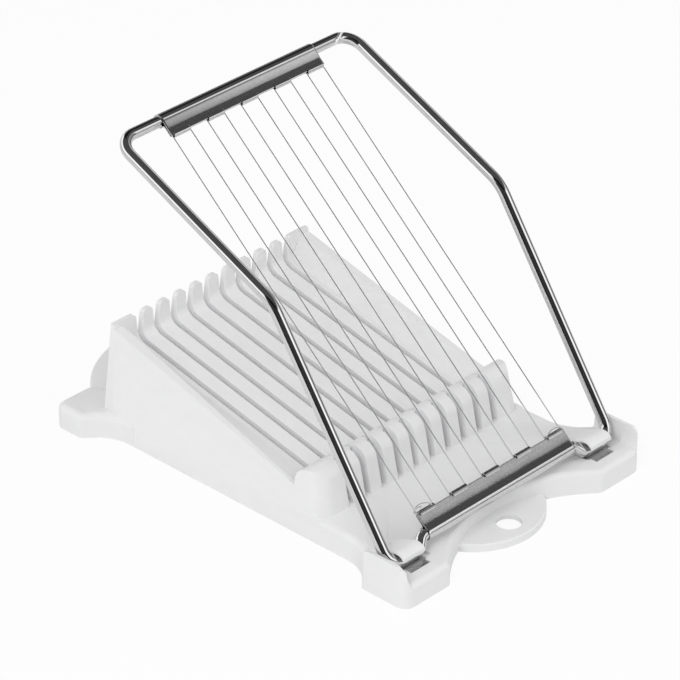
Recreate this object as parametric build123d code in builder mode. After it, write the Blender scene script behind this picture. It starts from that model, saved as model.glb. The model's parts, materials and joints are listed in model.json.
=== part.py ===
from build123d import *
from math import acos, atan2, cos, degrees, hypot, radians, sin, sqrt, tan
import os

# Luncheon meat slicer, in millimetres.
# X runs across the slicer, +Y runs from the hinge end to the tall comb end, +Z is up.
# The sizes below are laid out from the table, midway across, right below the hinge line.
# The finished parts are moved along Y, so that the whole slicer is centred on the origin.
# The frame is modelled as it stands in the photograph: swung up and held by friction.

# Slices
wire_count = 10
pitch = 7.85
wire_d = 0.4

# Wire frame
rod_d = 4.0
leg_x = 54.5
hinge_z = 10.2
lower_leg_angle = 56.2
lower_leg_length = 93.3
upper_leg_angle = 24.85
upper_leg_length = 76.7
crank_offset = 3.6
crank_start_x = 37.6
crank_end_x = 40.6
crank_bend_r = 3.0
hinge_bend_r = 6.0
kink_bend_r = 16.0
top_bend_r = 7.0

# Clamp bars, folded from sheet
sheet = 0.4
clamp_length = 71.8
leaf_reach = 6.6
wire_height = 1.5
sleeve_clearance = 0.03
sleeve_open_angle = 52.0
sleeve_lead = 0.45
neck_bend_r = 0.8
tab_lip = 1.0
tab_gap = 0.1
tab_play = 0.02
wire_grip = 3.1

# Base: plan
base_width = 117.0
foot_front_y = -10.6
foot_rear_y = 153.3
cradle_width = 99.6
cradle_front_y = 34.6
cradle_rear_y = 138.6
flare_r = 16.5
front_flare_y = 23.5
rear_flare_y = 125.5
front_arc_r = 53.0
front_arc_mid_y = 5.0
rear_recess_x = 40.5
rear_recess_wall_x = 37.4
front_tab_r = 25.0
front_tab_y = 13.9
rear_tab_r = 46.7
rear_tab_y = 129.5
tab_height = 2.8
tab_floor = 1.6
hang_hole_d = 8.8
hang_hole_y = -2.7
foot_corner_r = 4.0
heel_corner_r = 3.5
flare_corner_r = 3.0

# Base: heights and walls
deck_z = 9.5
deck_rim_r = 2.2
front_deck_z = 8.5
front_rim_r = 2.0
rear_foot_z = 9.0
rear_rim_r = 2.6
tab_chamfer = 0.5
lip_z = 15.4
lip_front_z = 13.3
lip_fall_y = -6.5
lip_inner_x = 56.9
lip_shelf_x = 55.9
lip_top_x = 57.3
lip_rear_y = 9.2
lip_lean = 0.6
lip_rear_r = 3.5
lip_front_r = 2.0
wall = 2.2
deck_floor = 3.7
draft = 3.9
slat_low_y = 50.0
slat_low_z = 14.2
slat_angle = 12.64
slat_thick = 2.6
slat_lip = 1.3
slat_lip_depth = 7.0
rail_low_z = 18.0
rail_angle = 15.3
rail_foot_x = 38.2
rail_top_front = 1.35
rail_top_rear = 3.9
comb_top_z = 42.6
comb_thick = 2.0
comb_foot_r = 4.0
bump_y = 42.6
bump_r = 5.7
bump_top_z = 25.0
bump_lean = 12.0
bump_corner_r = 6.5
hollow_front_y = 46.0

# Slots for the wires
slot = 2.1
slot_mouth = 3.45
tooth_round = 1.5
slot_bottom_z = 7.0
bump_slot_front = 2.9
bump_slot_rear = 1.0

# Hinge saddles
saddle_in_x = 41.1
saddle_out_x = 51.4
saddle_r = 4.25
saddle_front_y = -3.0
saddle_ramp_y = 13.0
saddle_lip_z = 11.6
saddle_soft_r = 0.9
lip_overlap = 0.2
window_front_y = -5.4
window_out_x = 50.3
pocket_front_y = -2.9
crank_pocket_front_y = -2.2
pocket_rear_y = 6.5
pocket_z = 7.9
bearing_in_x = 43.2
bearing_out_x = 47.6
mouth_in_clearance = 1.3
mouth_out_clearance = 1.4
trough_x = 40.8
trough_r = 6.1
trough_y = 3.4
trough_centre_z = 14.2
running_fit = 0.05

# Keeper plates and their screws
plate_thick = 0.8
plate_margin = 0.9
plate_front_y = -6.0
plate_rear_y = 10.6
plate_play = 0.1
plate_corner_r = 1.0
screw_y = 7.0
screw_d = 2.2
screw_length = 4.0
screw_head_d = 4.0
screw_head = 1.4
screw_head_chamfer = 0.35
screw_cross = 2.2
screw_cross_width = 0.5
screw_cross_depth = 0.7
screw_fit = 0.02
screw_spare = 0.2

# How far a cut runs past the face where it leaves the material
past = 1.0

os.makedirs("parts", exist_ok=True)


# Places worked out from the sizes
def leg_point(distance):
    """A point (y, z) on the lower legs, at this distance from the hinge line."""
    angle = radians(lower_leg_angle)
    return (distance * cos(angle), hinge_z + distance * sin(angle))


lower_bar = leg_point(crank_offset)
kink = leg_point(lower_leg_length)
top_bar = (
    kink[0] + upper_leg_length * cos(radians(upper_leg_angle)),
    kink[1] + upper_leg_length * sin(radians(upper_leg_angle)),
)
bar_distance = hypot(top_bar[0] - lower_bar[0], top_bar[1] - lower_bar[1])
wire_angle = degrees(atan2(top_bar[1] - lower_bar[1], top_bar[0] - lower_bar[0]))
rod_r = rod_d / 2
wire_r = wire_d / 2
wire_x = [(index - (wire_count - 1) / 2) * pitch for index in range(wire_count)]
half_width = base_width / 2
half_cradle = cradle_width / 2
slat_rise = tan(radians(slat_angle))
rail_rise = tan(radians(rail_angle))
plate_z = hinge_z - rod_r - running_fit
plate_width = window_out_x - saddle_in_x + 2 * plate_margin
plate_mid_x = (window_out_x + saddle_in_x) / 2
plate_run = plate_rear_y - plate_front_y
plate_mid_y = (plate_rear_y + plate_front_y) / 2


def slat_z(y):
    """Height of the slats' top face at y."""
    return slat_low_z + (y - slat_low_y) * slat_rise


def rail_z(y):
    """Height of the side rails' crest at y."""
    return rail_low_z + (y - slat_low_y) * rail_rise


def rail_top(y):
    """Width of the side rails' flat top at y."""
    share = (y - slat_low_y) / (cradle_rear_y - slat_low_y)
    return rail_top_front + share * (rail_top_rear - rail_top_front)


def wall_x(z):
    """Half width of the drafted cradle at height z."""
    return half_cradle - z * tan(radians(draft))


# The bars' own plane has its X along the wires, from the bar towards the other bar, and its
# Y on the side where the wires lie; its normal runs along the bar.
wire_direction = Vector(0, cos(radians(wire_angle)), sin(radians(wire_angle)))
lower_bar_plane = Plane(
    origin=(-clamp_length / 2, lower_bar[0], lower_bar[1]), x_dir=wire_direction, z_dir=(1, 0, 0)
)
top_bar_plane = Plane(
    origin=(clamp_length / 2, top_bar[0], top_bar[1]), x_dir=-wire_direction, z_dir=(-1, 0, 0)
)


# Frame rod: one stainless rod bent to a closed loop and butt welded.
# Half of it is swept and mirrored, with the loop closing on the centre plane.
with BuildPart() as frame_rod:
    with BuildLine() as half_loop:
        FilletPolyline(
            (0, lower_bar[0], lower_bar[1]),
            (crank_start_x, lower_bar[0], lower_bar[1]),
            (crank_end_x, 0, hinge_z),
            (leg_x, 0, hinge_z),
            (leg_x, kink[0], kink[1]),
            (leg_x, top_bar[0], top_bar[1]),
            (0, top_bar[0], top_bar[1]),
            radius=[crank_bend_r, crank_bend_r, hinge_bend_r, kink_bend_r, top_bend_r],
        )
    with BuildSketch(Plane(origin=(0, lower_bar[0], lower_bar[1]), z_dir=(1, 0, 0))):
        Circle(rod_r)
    sweep()
    mirror(about=Plane.YZ)
frame_rod.part.label = "frame_rod"


# Clamp bars: sheet wrapped round the rod, with two leaves that pinch the wire ends.
# Five tabs of the lower leaf are folded over the edge of the upper leaf.
leaf_gap = wire_d
upper_leaf = wire_height + (leaf_gap + sheet) / 2
lower_leaf = wire_height - (leaf_gap + sheet) / 2
sleeve_r = rod_r + sleeve_clearance + sheet / 2
sleeve_in_r = sleeve_r - sheet / 2
sleeve_out_r = sleeve_r + sheet / 2
tab_fold_r = (upper_leaf + sheet - lower_leaf) / 2 + tab_play
tab_ranges = [(wire_x[i], wire_x[i + 1]) for i in range(0, wire_count, 2)]


def clamp_bar(plane):
    """One clamp bar, on a plane whose normal runs along the bar from its end face."""
    half = sheet / 2
    opening = radians(sleeve_open_angle)
    lead_x = sleeve_r * cos(opening) + sleeve_lead
    neck = (sleeve_r + neck_bend_r, lower_leaf - neck_bend_r)
    fold = (leaf_reach, lower_leaf + tab_fold_r)
    with BuildPart() as bar:
        with BuildSketch(plane):
            with BuildLine():
                Polyline(
                    (sleeve_in_r * cos(opening), sleeve_in_r * sin(opening)),
                    (lead_x, upper_leaf - half),
                    (leaf_reach, upper_leaf - half),
                    (leaf_reach, upper_leaf + half),
                    (lead_x, upper_leaf + half),
                    (sleeve_out_r * cos(opening), sleeve_out_r * sin(opening)),
                )
                CenterArc((0, 0), sleeve_out_r, sleeve_open_angle, 360 - sleeve_open_angle)
                Line((sleeve_out_r, 0), (sleeve_out_r, neck[1]))
                CenterArc(neck, neck_bend_r - half, 90, 90)
                Polyline(
                    (neck[0], lower_leaf - half),
                    (leaf_reach, lower_leaf - half),
                    (leaf_reach, lower_leaf + half),
                    (neck[0], lower_leaf + half),
                )
                CenterArc(neck, neck_bend_r + half, 90, 90)
                Line((sleeve_in_r, neck[1]), (sleeve_in_r, 0))
                CenterArc((0, 0), sleeve_in_r, sleeve_open_angle, 360 - sleeve_open_angle)
            make_face()
        extrude(amount=clamp_length)
        for start, end in tab_ranges:
            inset = clamp_length / 2 + start + wire_r + tab_gap
            with BuildSketch(plane.offset(inset)):
                with BuildLine():
                    Line(
                        (leaf_reach, fold[1] - tab_fold_r - half),
                        (leaf_reach - tab_lip, fold[1] - tab_fold_r - half),
                    )
                    Line(
                        (leaf_reach - tab_lip, fold[1] - tab_fold_r - half),
                        (leaf_reach - tab_lip, fold[1] - tab_fold_r + half),
                    )
                    Line(
                        (leaf_reach - tab_lip, fold[1] - tab_fold_r + half),
                        (leaf_reach, fold[1] - tab_fold_r + half),
                    )
                    CenterArc(fold, tab_fold_r - half, -90, 180)
                    Line(
                        (leaf_reach, fold[1] + tab_fold_r - half),
                        (leaf_reach - tab_lip, fold[1] + tab_fold_r - half),
                    )
                    Line(
                        (leaf_reach - tab_lip, fold[1] + tab_fold_r - half),
                        (leaf_reach - tab_lip, fold[1] + tab_fold_r + half),
                    )
                    Line(
                        (leaf_reach - tab_lip, fold[1] + tab_fold_r + half),
                        (leaf_reach, fold[1] + tab_fold_r + half),
                    )
                    CenterArc(fold, tab_fold_r + half, -90, 180)
                make_face()
            extrude(amount=end - start - 2 * (wire_r + tab_gap))
    return bar.part


lower_clamp = clamp_bar(lower_bar_plane)
lower_clamp.label = "lower_clamp"
top_clamp = clamp_bar(top_bar_plane)
top_clamp.label = "top_clamp"


# Cutting wires: ten straight strands, pinched between the leaves of both bars
wires = []
for index, x in enumerate(wire_x):
    strand_plane = Plane(
        origin=Vector(x, lower_bar[0], lower_bar[1])
        + wire_direction * (leaf_reach - wire_grip)
        + Vector(0, -sin(radians(wire_angle)), cos(radians(wire_angle))) * wire_height,
        x_dir=(1, 0, 0),
        z_dir=wire_direction,
    )
    with BuildPart() as wire:
        with BuildSketch(strand_plane):
            Circle(wire_r)
        extrude(amount=bar_distance - 2 * (leaf_reach - wire_grip))
    wire.part.label = f"wire_{index + 1:02d}"
    wires.append(wire.part)


# Base: one white moulding, hollow underneath. One half is built and then mirrored.
bump_z = bump_top_z - bump_r
bump_touch_y = bump_y - bump_r * cos(radians(bump_lean))
bump_touch_z = bump_z + bump_r * sin(radians(bump_lean))
bump_rear_y = bump_y + bump_r
comb_rear_y = cradle_rear_y - comb_top_z * tan(radians(draft))
comb_front_y = comb_rear_y - comb_thick
deck_under_z = deck_z - deck_floor
front_arc_centre_y = front_arc_mid_y - front_arc_r
foot_inner_x = sqrt(front_arc_r**2 - (foot_front_y - front_arc_centre_y) ** 2)
flare_x = half_cradle + flare_r
flare_run = sqrt(flare_r**2 - (flare_x - half_width) ** 2)
deck_rear_y = cradle_front_y + 2 * past
flare_mid_angle = radians(31)
arc_split_angle = radians(20)
arc_side_angle = radians(33)


def front_outline(rear_y):
    """Closed plan of the deck and front feet, from the front edge to rear_y."""
    with BuildSketch() as outline:
        with BuildLine():
            mid = front_arc_r * sin(arc_split_angle)
            ThreePointArc(
                (-mid, front_arc_centre_y + sqrt(front_arc_r**2 - mid**2)),
                (0, front_arc_mid_y),
                (mid, front_arc_centre_y + sqrt(front_arc_r**2 - mid**2)),
            )
            for side in (-1, 1):
                ThreePointArc(
                    (side * mid, front_arc_centre_y + sqrt(front_arc_r**2 - mid**2)),
                    (
                        side * front_arc_r * sin(arc_side_angle),
                        front_arc_centre_y + front_arc_r * cos(arc_side_angle),
                    ),
                    (side * foot_inner_x, foot_front_y),
                )
                Polyline(
                    (side * foot_inner_x, foot_front_y),
                    (side * half_width, foot_front_y),
                    (side * half_width, front_flare_y - flare_run),
                )
                ThreePointArc(
                    (side * half_width, front_flare_y - flare_run),
                    (
                        side * (flare_x - flare_r * cos(flare_mid_angle)),
                        front_flare_y - flare_r * sin(flare_mid_angle),
                    ),
                    (side * half_cradle, front_flare_y),
                )
                Line((side * half_cradle, front_flare_y), (side * half_cradle, rear_y))
            Line((-half_cradle, rear_y), (half_cradle, rear_y))
        make_face()
        front_corners = outline.vertices().group_by(Axis.Y)[0].sort_by(Axis.X)
        fillet([front_corners[0], front_corners[-1]], foot_corner_r)
        front_corners = outline.vertices().group_by(Axis.Y)[0].sort_by(Axis.X)
        fillet([front_corners[1], front_corners[2]], heel_corner_r)
        for side_group in (0, -1):
            side_corners = outline.vertices().group_by(Axis.X)[side_group].sort_by(Axis.Y)
            fillet(side_corners[-1], flare_corner_r)
    return outline.sketch


def rear_outline(front_y):
    """Closed plan of one rear foot with its flare, on the right."""
    with BuildSketch() as outline:
        with BuildLine():
            Polyline(
                (rear_recess_wall_x, front_y),
                (rear_recess_wall_x, cradle_rear_y),
                (rear_recess_x, foot_rear_y),
                (half_width, foot_rear_y),
                (half_width, rear_flare_y + flare_run),
            )
            ThreePointArc(
                (half_width, rear_flare_y + flare_run),
                (
                    flare_x - flare_r * cos(flare_mid_angle),
                    rear_flare_y + flare_r * sin(flare_mid_angle),
                ),
                (half_cradle, rear_flare_y),
            )
            Polyline(
                (half_cradle, rear_flare_y), (half_cradle, front_y), (rear_recess_wall_x, front_y)
            )
        make_face()
        fillet(outline.vertices().group_by(Axis.Y)[-1], foot_corner_r)
        fillet(outline.vertices().group_by(Axis.X)[-1].sort_by(Axis.Y)[0], flare_corner_r)
    return outline.sketch


# The space that the meat lies in: it widens upwards between the rails, is rounded at the foot
# of the comb and ends on the rounded bump
with BuildPart() as meat_space:
    for section_y in (cradle_front_y + past, cradle_rear_y + past):
        with BuildSketch(Plane.XZ.offset(-section_y)):
            with BuildLine():
                floor_z = slat_z(section_y)
                crest_z = rail_z(section_y)
                crest_x = wall_x(crest_z) - rail_top(section_y)
                roof_z = comb_top_z + past
                Polyline(
                    (-rail_foot_x, floor_z),
                    (rail_foot_x, floor_z),
                    (crest_x, crest_z),
                    (crest_x, roof_z),
                    (-crest_x, roof_z),
                    (-crest_x, crest_z),
                    close=True,
                )
            make_face()
    loft(ruled=True)
    with BuildSketch(Plane.YZ) as meat_profile:
        with BuildLine():
            Polyline(
                (bump_rear_y, slat_z(bump_rear_y)),
                (comb_front_y, slat_z(comb_front_y)),
                (comb_front_y, roof_z),
                (bump_rear_y, roof_z),
                (bump_rear_y, slat_z(bump_rear_y)),
            )
        make_face()
        # A sketch on the YZ plane has its own X along Y, and its own Y along Z
        comb_foot = meat_profile.vertices().group_by(Axis.X)[-1].sort_by(Axis.Y)[0]
        fillet(comb_foot, comb_foot_r)
    extrude(amount=base_width, both=True, mode=Mode.INTERSECT)

# The hollow inside the cradle, below the slats' hanging lips
with BuildPart() as cradle_hollow:
    with BuildSketch(Plane.XY.offset(-past)):
        with Locations((0, (cradle_front_y + cradle_rear_y - wall) / 2)):
            Rectangle(cradle_width - 2 * wall, cradle_rear_y - wall - cradle_front_y)
    extrude(amount=comb_top_z, taper=draft)
    with BuildSketch(Plane.YZ):
        with BuildLine():
            Polyline(
                (cradle_front_y + wall, -past),
                (cradle_front_y + wall, deck_under_z),
                (hollow_front_y, deck_under_z),
                (hollow_front_y, slat_z(hollow_front_y) - slat_thick - slat_lip_depth),
                (cradle_rear_y, slat_z(cradle_rear_y) - slat_thick - slat_lip_depth),
                (cradle_rear_y, -past),
                close=True,
            )
        make_face()
    extrude(amount=base_width, both=True, mode=Mode.INTERSECT)

# Deck, with a soft rim; in front it comes down in a hollow to the lower level of the feet
with BuildPart() as deck:
    with BuildSketch():
        add(front_outline(deck_rear_y))
    extrude(amount=deck_z)
    deck_rim = deck.edges().group_by(Axis.Z)[-1].sort_by(Axis.Y)[:-1]
    fillet(deck_rim, deck_rim_r)
    with BuildSketch(Plane.YZ):
        with Locations((trough_y, trough_centre_z)):
            Circle(trough_r)
        with Locations((trough_y - half_width, 0)):
            Rectangle(base_width, 2 * trough_centre_z)
    extrude(amount=base_width, both=True, mode=Mode.SUBTRACT)

# Front feet, with a soft rim
with BuildPart() as front_feet:
    with BuildSketch():
        add(front_outline(deck_rear_y))
    extrude(amount=front_deck_z)
    front_rim = front_feet.edges().group_by(Axis.Z)[-1].sort_by(Axis.Y)[:-1]
    fillet(front_rim, front_rim_r)

# Rear feet, with a soft rim
with BuildPart() as rear_feet:
    with BuildSketch():
        add(rear_outline(rear_flare_y - 2 * past))
    extrude(amount=rear_foot_z)
    rear_rim = rear_feet.edges().group_by(Axis.Z)[-1].sort_by(Axis.Y)[2:]
    fillet(rear_rim, rear_rim_r)
    mirror(about=Plane.YZ)

# Tabs at both ends
with BuildPart() as tabs:
    with BuildSketch():
        with Locations((0, front_tab_y)):
            Circle(front_tab_r)
        with Locations((0, rear_tab_y)):
            Circle(rear_tab_r)
    extrude(amount=tab_height)
    chamfer(tabs.edges().group_by(Axis.Z)[-1], tab_chamfer)
    with Locations((0, (front_arc_mid_y + wall + cradle_rear_y - wall) / 2, 0)):
        Box(
            4 * rear_tab_r,
            cradle_rear_y - front_arc_mid_y - 2 * wall,
            4 * tab_height,
            mode=Mode.SUBTRACT,
        )

# Lips that stand on the outer edges of the front feet
with BuildPart() as lips:
    with BuildSketch():
        add(front_outline(deck_rear_y))
    extrude(amount=lip_z)
    with BuildSketch(Plane.XZ):
        with BuildLine():
            for side in (-1, 1):
                Polyline(
                    (side * lip_top_x, lip_z),
                    (side * base_width, lip_z),
                    (side * base_width, deck_under_z),
                    (side * lip_shelf_x, deck_under_z),
                    (side * lip_shelf_x, front_deck_z),
                )
                Spline(
                    (side * lip_shelf_x, front_deck_z),
                    (side * lip_top_x, lip_z),
                    tangents=[(side * lip_lean, 1), (0, 1)],
                )
        make_face()
    extrude(amount=base_width, both=True, mode=Mode.INTERSECT)
    with BuildSketch(Plane.YZ) as lip_profile:
        with BuildLine():
            Polyline(
                (foot_front_y, 0),
                (foot_front_y, lip_front_z),
                (lip_fall_y, lip_z),
                (lip_rear_y, lip_z),
                (lip_rear_y, 0),
                close=True,
            )
        make_face()
        fillet(lip_profile.vertices().group_by(Axis.Y)[-1].sort_by(Axis.X)[-1], lip_rear_r)
        fillet(lip_profile.vertices().group_by(Axis.X)[0].sort_by(Axis.Y)[-1], lip_front_r)
    extrude(amount=base_width, both=True, mode=Mode.INTERSECT)

# Hinge saddles: humps over the rod that run out into the deck
with BuildPart() as saddles:
    ramp_run = hypot(saddle_ramp_y, deck_z - hinge_z)
    ramp_angle = atan2(deck_z - hinge_z, saddle_ramp_y) + acos(saddle_r / ramp_run)
    saddle_front_z = hinge_z + sqrt(saddle_r**2 - saddle_front_y**2)
    with BuildSketch(Plane.YZ.offset(saddle_in_x)):
        with BuildLine():
            touch = (saddle_r * cos(ramp_angle), hinge_z + saddle_r * sin(ramp_angle))
            ThreePointArc((saddle_front_y, saddle_front_z), (0, hinge_z + saddle_r), touch)
            Polyline(
                touch,
                (saddle_ramp_y, deck_z),
                (saddle_ramp_y, deck_under_z),
                (saddle_front_y, deck_under_z),
                (saddle_front_y, saddle_front_z),
            )
        make_face()
    extrude(amount=saddle_out_x - saddle_in_x)
    saddle_ends = saddles.edges().filter_by(GeomType.CIRCLE)
    saddle_front = saddles.edges().filter_by(Axis.X).sort_by(Axis.Y)[:2].sort_by(Axis.Z)[-1]
    fillet([*saddle_ends, saddle_front], saddle_soft_r)
    mirror(about=Plane.YZ)

with BuildPart() as base:
    # Drafted block of the cradle, cut to its side view. It starts so far in front that its own
    # draft never reaches the bump.
    block_front_y = cradle_front_y - bump_y / 4
    with BuildSketch():
        with Locations((0, (block_front_y + cradle_rear_y) / 2)):
            Rectangle(cradle_width, cradle_rear_y - block_front_y)
    extrude(amount=comb_top_z, taper=draft)
    with BuildSketch(Plane.YZ):
        with BuildLine():
            touch = (bump_touch_y, bump_touch_z)
            Polyline(
                (bump_rear_y, bump_z),
                (bump_rear_y, rail_z(bump_rear_y)),
                (comb_front_y, rail_z(comb_front_y)),
                (comb_front_y, comb_top_z),
                (cradle_rear_y, comb_top_z),
                (cradle_rear_y, 0),
                (cradle_front_y, 0),
                (cradle_front_y, deck_z),
                touch,
            )
            ThreePointArc(touch, (bump_y, bump_top_z), (bump_rear_y, bump_z))
        make_face()
    extrude(amount=base_width, both=True, mode=Mode.INTERSECT)
    add(meat_space.part, mode=Mode.SUBTRACT)
    # Rounded front corners of the bump: a cut that leans with its faces
    corner_x = wall_x(deck_z)
    corner_y = cradle_front_y
    for side in (-1, 1):
        with BuildSketch(Plane.XY.offset(deck_z)):
            with BuildLine():
                Polyline(
                    (side * (corner_x - bump_corner_r), corner_y),
                    (side * (corner_x - bump_corner_r), corner_y - past),
                    (side * (corner_x + past), corner_y - past),
                    (side * (corner_x + past), corner_y + bump_corner_r),
                    (side * corner_x, corner_y + bump_corner_r),
                )
                ThreePointArc(
                    (side * corner_x, corner_y + bump_corner_r),
                    (
                        side * (corner_x - bump_corner_r * (1 - cos(radians(45)))),
                        corner_y + bump_corner_r * (1 - sin(radians(45))),
                    ),
                    (side * (corner_x - bump_corner_r), corner_y),
                )
            make_face()
        lean = (-side * tan(radians(draft)), tan(radians(bump_lean)), 1)
        extrude(amount=comb_top_z - deck_z, dir=lean, mode=Mode.SUBTRACT)
    add(deck.part)
    add(front_feet.part)
    add(rear_feet.part)
    add(tabs.part)
    # Hollow underside
    with BuildSketch():
        add(front_outline(cradle_front_y + 2 * wall))
        offset(amount=-wall)
    extrude(amount=deck_under_z, mode=Mode.SUBTRACT)
    with BuildSketch():
        add(rear_outline(rear_flare_y - past))
        offset(amount=-wall)
        mirror(about=Plane.YZ)
    extrude(amount=rear_foot_z - wall, mode=Mode.SUBTRACT)
    add(cradle_hollow.part, mode=Mode.SUBTRACT)
    with BuildSketch():
        with Locations((0, front_tab_y)):
            Circle(front_tab_r - wall)
    extrude(amount=tab_height - tab_floor, mode=Mode.SUBTRACT)
    with BuildSketch():
        with Locations((0, rear_tab_y)):
            Circle(rear_tab_r - wall)
        with Locations((0, 0)):
            Rectangle(4 * rear_tab_r, 2 * cradle_rear_y, mode=Mode.SUBTRACT)
    extrude(amount=tab_height - tab_floor, mode=Mode.SUBTRACT)
    # Channels under the slats, which leave each slat two hanging lips
    channel_front_y = bump_rear_y - wall
    channel_rear_y = comb_front_y - past
    channel_width = pitch - slot - 2 * slat_lip
    side_channel_x = wire_x[-1] + slot / 2 + slat_lip
    channels = [(x + pitch / 2 - channel_width / 2, channel_width) for x in wire_x[:-1]]
    channels.append((side_channel_x, rail_foot_x + 4 - side_channel_x))
    channels.append((-rail_foot_x - 4, rail_foot_x + 4 - side_channel_x))
    for channel_x, width in channels:
        with BuildSketch(Plane.YZ.offset(channel_x)):
            with BuildLine():
                Polyline(
                    (channel_front_y, slat_z(channel_front_y) - slat_thick - slat_lip_depth - past),
                    (channel_front_y, slat_z(channel_front_y) - slat_thick),
                    (channel_rear_y, slat_z(channel_rear_y) - slat_thick),
                    (channel_rear_y, slat_z(channel_rear_y) - slat_thick - slat_lip_depth - past),
                    close=True,
                )
            make_face()
        extrude(amount=width, mode=Mode.SUBTRACT)
    # Slots for the wires: through the slats and the comb, and down the bump
    slot_rear_y = cradle_rear_y + past
    mouth_low_z = slat_z(comb_front_y)
    for x in wire_x:
        with BuildSketch(Plane.YZ.offset(x - slot / 2)):
            with BuildLine():
                Polyline(
                    (bump_rear_y, slot_bottom_z),
                    (slot_rear_y, slot_bottom_z),
                    (slot_rear_y, comb_top_z + past),
                    (bump_rear_y, comb_top_z + past),
                    close=True,
                )
            make_face()
        extrude(amount=slot, mode=Mode.SUBTRACT)
        with BuildSketch(Plane.XZ.offset(-comb_front_y + past)):
            with BuildLine():
                waist_x = slot_mouth / 2
                waist_z = comb_top_z - tooth_round
                crest_x = waist_x + tooth_round
                turn = 1 - cos(radians(45))
                for side in (-1, 1):
                    Line((x + side * slot / 2, mouth_low_z), (x + side * waist_x, waist_z))
                    ThreePointArc(
                        (x + side * waist_x, waist_z),
                        (x + side * (waist_x + tooth_round * turn), comb_top_z - tooth_round * turn),
                        (x + side * crest_x, comb_top_z),
                    )
                    Line((x + side * crest_x, comb_top_z), (x + side * crest_x, comb_top_z + past))
                Line((x - slot / 2, mouth_low_z), (x + slot / 2, mouth_low_z))
                Line((x - crest_x, comb_top_z + past), (x + crest_x, comb_top_z + past))
            make_face()
        extrude(amount=-(slot_rear_y - comb_front_y + past), mode=Mode.SUBTRACT)
        with BuildSketch(Plane.YZ.offset(x - bump_slot_front / 2)):
            with BuildLine():
                Polyline(
                    (cradle_front_y - past, deck_z),
                    (bump_y, deck_z),
                    (bump_y, bump_top_z + past),
                    (cradle_front_y - past, bump_top_z + past),
                    close=True,
                )
            make_face()
        extrude(amount=bump_slot_front, mode=Mode.SUBTRACT)
        with BuildSketch(Plane.YZ.offset(x - bump_slot_rear / 2)):
            with BuildLine():
                Polyline(
                    (bump_y - past / 2, slot_bottom_z),
                    (bump_rear_y + past, slot_bottom_z),
                    (bump_rear_y + past, bump_top_z + past),
                    (bump_y - past / 2, bump_top_z + past),
                    close=True,
                )
            make_face()
        extrude(amount=bump_slot_rear, mode=Mode.SUBTRACT)
    # Trough across the deck's front edge, which leaves room under the swinging clamp bar
    with BuildSketch(Plane.YZ.offset(-trough_x)):
        with Locations((trough_y, trough_centre_z)):
            Circle(trough_r)
    extrude(amount=2 * trough_x, mode=Mode.SUBTRACT)
    # The feet's lips and the saddles, and the cuts that the rod turns in
    add(lips.part)
    add(saddles.part)
    bore_r = rod_r + running_fit
    mouth_in_r = rod_r + mouth_in_clearance
    mouth_out_r = rod_r + mouth_out_clearance
    rod_front_y = -bore_r + lip_overlap
    for side in (-1, 1):
        # Window in front of the rod and below it, closed from below by the keeper plate
        with BuildSketch(Plane.YZ.offset(side * saddle_in_x)):
            with BuildLine():
                Polyline(
                    (window_front_y, plate_z),
                    (window_front_y, saddle_lip_z),
                    (rod_front_y, saddle_lip_z),
                    (rod_front_y, hinge_z),
                    (bore_r, hinge_z),
                    (bore_r, plate_z),
                    close=True,
                )
            make_face()
        extrude(amount=side * (window_out_x - saddle_in_x), mode=Mode.SUBTRACT)
        with BuildSketch(Plane.YZ.offset(side * saddle_in_x)):
            with BuildLine():
                Polyline(
                    (window_front_y, front_deck_z),
                    (window_front_y, saddle_lip_z),
                    (rod_front_y, saddle_lip_z),
                    (rod_front_y, front_deck_z),
                    close=True,
                )
            make_face()
        extrude(amount=side * (saddle_out_x - saddle_in_x), mode=Mode.SUBTRACT)
        # Bore with a wider mouth at both ends, where the rod's bends begin
        with BuildSketch(Plane.XY.offset(hinge_z)):
            with BuildLine():
                Polyline(
                    (side * (saddle_in_x - past), 0),
                    (side * (saddle_in_x - past), mouth_in_r),
                    (side * saddle_in_x, mouth_in_r),
                    (side * bearing_in_x, bore_r),
                    (side * bearing_out_x, bore_r),
                    (side * saddle_out_x, mouth_out_r),
                    (side * (saddle_out_x + past), mouth_out_r),
                    (side * (saddle_out_x + past), 0),
                    close=True,
                )
            make_face()
        revolve(axis=Axis((0, 0, hinge_z), (1, 0, 0)), mode=Mode.SUBTRACT)
        # Pockets that the leg and the crank swing in, and the lip's thinner rear end
        leg_pocket_x = (saddle_out_x + lip_inner_x) / 2
        leg_pocket_width = lip_inner_x - saddle_out_x
        pocket_mid_y = (pocket_front_y + pocket_rear_y) / 2
        crank_pocket_x = (saddle_in_x + crank_start_x) / 2
        crank_pocket_mid_y = (crank_pocket_front_y + pocket_rear_y) / 2
        with BuildSketch(Plane.XY.offset(pocket_z)):
            with Locations((side * leg_pocket_x, pocket_mid_y)):
                Rectangle(leg_pocket_width, pocket_rear_y - pocket_front_y)
            with Locations((side * crank_pocket_x, crank_pocket_mid_y)):
                Rectangle(saddle_in_x - crank_start_x, pocket_rear_y - crank_pocket_front_y)
        extrude(amount=lip_z, mode=Mode.SUBTRACT)
        with BuildSketch(Plane.XY.offset(deck_z)):
            with Locations((side * leg_pocket_x, lip_rear_y)):
                Rectangle(leg_pocket_width, 2 * (lip_rear_y - pocket_mid_y))
        extrude(amount=lip_z, mode=Mode.SUBTRACT)
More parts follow.
